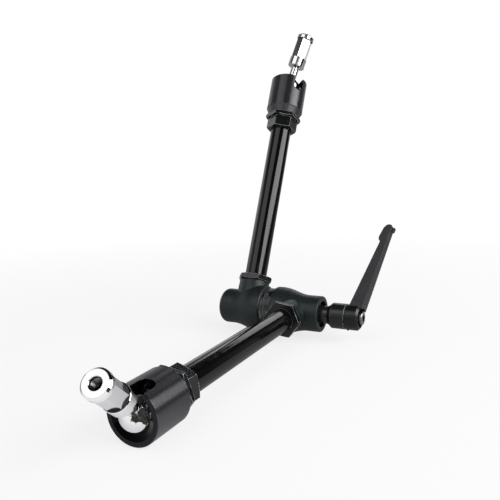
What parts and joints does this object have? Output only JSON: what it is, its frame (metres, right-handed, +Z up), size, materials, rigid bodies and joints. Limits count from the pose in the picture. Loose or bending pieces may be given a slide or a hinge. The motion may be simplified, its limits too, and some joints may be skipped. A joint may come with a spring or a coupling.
{
  "type": "articulating friction arm",
  "caption": "Camera support arm of tubes on a friction elbow, with a ball stud at each far end and a clamping lever that locks every joint at once.",
  "frame": {"origin": "on the ground under the middle of the whole arm, as it rests on its elbow and the lower housing", "axes": "+X along the elbow axis towards the lever, -Y along the lower arm towards its ball stud, +Z up"},
  "size_m": [0.1436, 0.3774, 0.2682],
  "materials": {
    "cast_body": "fine dark grey-green powder coat",
    "gloss_tube": "gloss black",
    "satin_housing": "satin charcoal anodised",
    "black_steel": "black oxide, oiled",
    "lever_casting": "matt dark grey coated casting",
    "chromed_steel": "bright chrome plate",
    "plain_steel": "turned, bare",
    "spring_steel": "drawn wire",
    "bronze": "turned bearing bronze"
  },
  "bodies": {
    "lower_arm": {"lower_knuckle": "cast_body", "lower_jam_nut": "black_steel", "lower_tube": "gloss_tube", "lower_end_fitting": "black_steel", "lower_lock_nut": "black_steel", "lower_ball_housing": "satin_housing", "friction_ring": "plain_steel"},
    "upper_arm": {"upper_knuckle": "cast_body", "upper_jam_nut": "black_steel", "upper_tube": "gloss_tube", "upper_end_fitting": "black_steel", "upper_lock_nut": "black_steel", "upper_ball_housing": "satin_housing"},
    "lower_pad": {"lower_pressure_pad": "bronze"},
    "upper_pad": {"upper_pressure_pad": "bronze"},
    "lower_stud": {"lower_ball_stud": "chromed_steel"},
    "upper_stud": {"upper_ball_stud": "chromed_steel"},
    "lower_rod": {"lower_push_rod": "plain_steel"},
    "upper_rod": {"upper_push_rod": "plain_steel"},
    "lower_wedge_group": {"lower_wedge": "plain_steel", "thrust_washer": "bronze"},
    "draw_bolt_group": {"draw_bolt": "plain_steel", "upper_wedge": "plain_steel"},
    "lever": {"clamp_nut": "black_steel", "lever_screw": "black_steel", "lever_washer": "plain_steel", "lever_spring": "spring_steel"},
    "handle": {"lever_handle": "lever_casting"}
  },
  "joints": [
    {"name": "elbow_turn", "type": "hinge", "parent": "lower_arm", "child": "upper_arm", "pos_m": [-0.02578, 0.07404, 0.02], "axis": [1, 0, 0], "continuous": true},
    {"name": "lower_swivel", "type": "hinge", "parent": "lower_arm", "child": "lower_pad", "pos_m": [-0.00478, -0.14294, 0.01708], "axis": [0, -0.9999, -0.0135], "range_deg": [0, 360]},
    {"name": "lower_tilt", "type": "hinge", "parent": "lower_pad", "child": "lower_stud", "pos_m": [-0.00478, -0.14294, 0.01708], "axis": [-0.9659, -0.0035, 0.2588], "range_deg": [-85, 50]},
    {"name": "upper_swivel", "type": "hinge", "parent": "upper_arm", "child": "upper_pad", "pos_m": [-0.04678, 0.16654, 0.2163], "axis": [0, 0.4262, 0.9046], "range_deg": [0, 360]},
    {"name": "upper_tilt", "type": "hinge", "parent": "upper_pad", "child": "upper_stud", "pos_m": [-0.04678, 0.16654, 0.2163], "axis": [0.5, 0.7834, -0.3691], "range_deg": [-62, 73]},
    {"name": "lever_turn", "type": "hinge", "parent": "lower_arm", "child": "lever", "pos_m": [-0.02578, 0.07404, 0.02], "axis": [1, 0, 0], "range_deg": [0, 150]},
    {"name": "lower_wedge_slide", "type": "slide", "parent": "lower_arm", "child": "lower_wedge_group", "axis": [1, 0, 0], "range_m": [0, 0.0003135]},
    {"name": "draw_bolt_slide", "type": "slide", "parent": "upper_arm", "child": "draw_bolt_group", "axis": [-1, 0, 0], "range_m": [0, 0.0003135]},
    {"name": "lower_rod_slide", "type": "slide", "parent": "lower_arm", "child": "lower_rod", "axis": [0, 0.9999, 0.0135], "range_m": [0, 0.0001467]},
    {"name": "upper_rod_slide", "type": "slide", "parent": "upper_arm", "child": "upper_rod", "axis": [0, -0.4262, -0.9046], "range_m": [0, 0.0001467]},
    {"name": "lever_pull", "type": "slide", "parent": "lever", "child": "handle", "axis": [1, 0, 0], "range_m": [0, 0.0021], "stiffness_N_per_m": 500, "springref_m": -0.004, "deforming": ["lever_spring"]}
  ],
  "couplings": [
    {"joint": "lower_wedge_slide", "follows": "lever_turn", "m_per_rad": 0.00011937},
    {"joint": "draw_bolt_slide", "follows": "lever_turn", "m_per_rad": 0.00011937},
    {"joint": "lower_rod_slide", "follows": "lever_turn", "m_per_rad": 0.000055661},
    {"joint": "upper_rod_slide", "follows": "lever_turn", "m_per_rad": 0.000055661}
  ]
}
